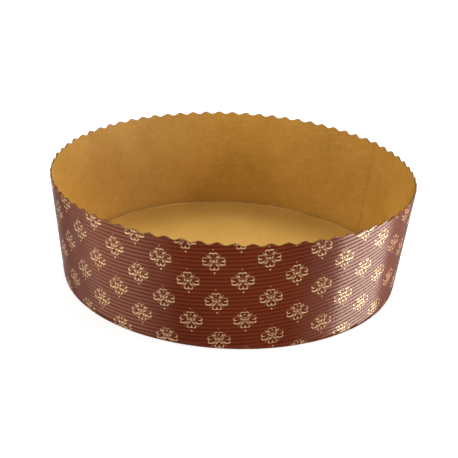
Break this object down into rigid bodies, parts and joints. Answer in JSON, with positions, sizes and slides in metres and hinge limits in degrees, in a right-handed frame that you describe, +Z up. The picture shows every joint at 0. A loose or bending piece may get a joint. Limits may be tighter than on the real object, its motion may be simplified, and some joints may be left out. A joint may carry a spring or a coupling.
{
  "type": "panettone paper mold",
  "caption": "Low round paper baking mold with a flared fluted wall, a scalloped rim and a flat base disc, open at the top.",
  "frame": {"origin": "middle of the underside, on the surface that the mold stands on", "axes": "+Z up through the open mouth, +X to the right and -Y to the front of the picture; the lap seam is at the back right, 33 degrees from +X towards +Y"},
  "size_m": [0.2247, 0.2246, 0.0684],
  "materials": {
    "printed_paper": "satin",
    "kraft_paper": "matte"
  },
  "bodies": {
    "root": {"side_wall": "printed_paper", "base_disc": "kraft_paper"}
  },
  "joints": []
}
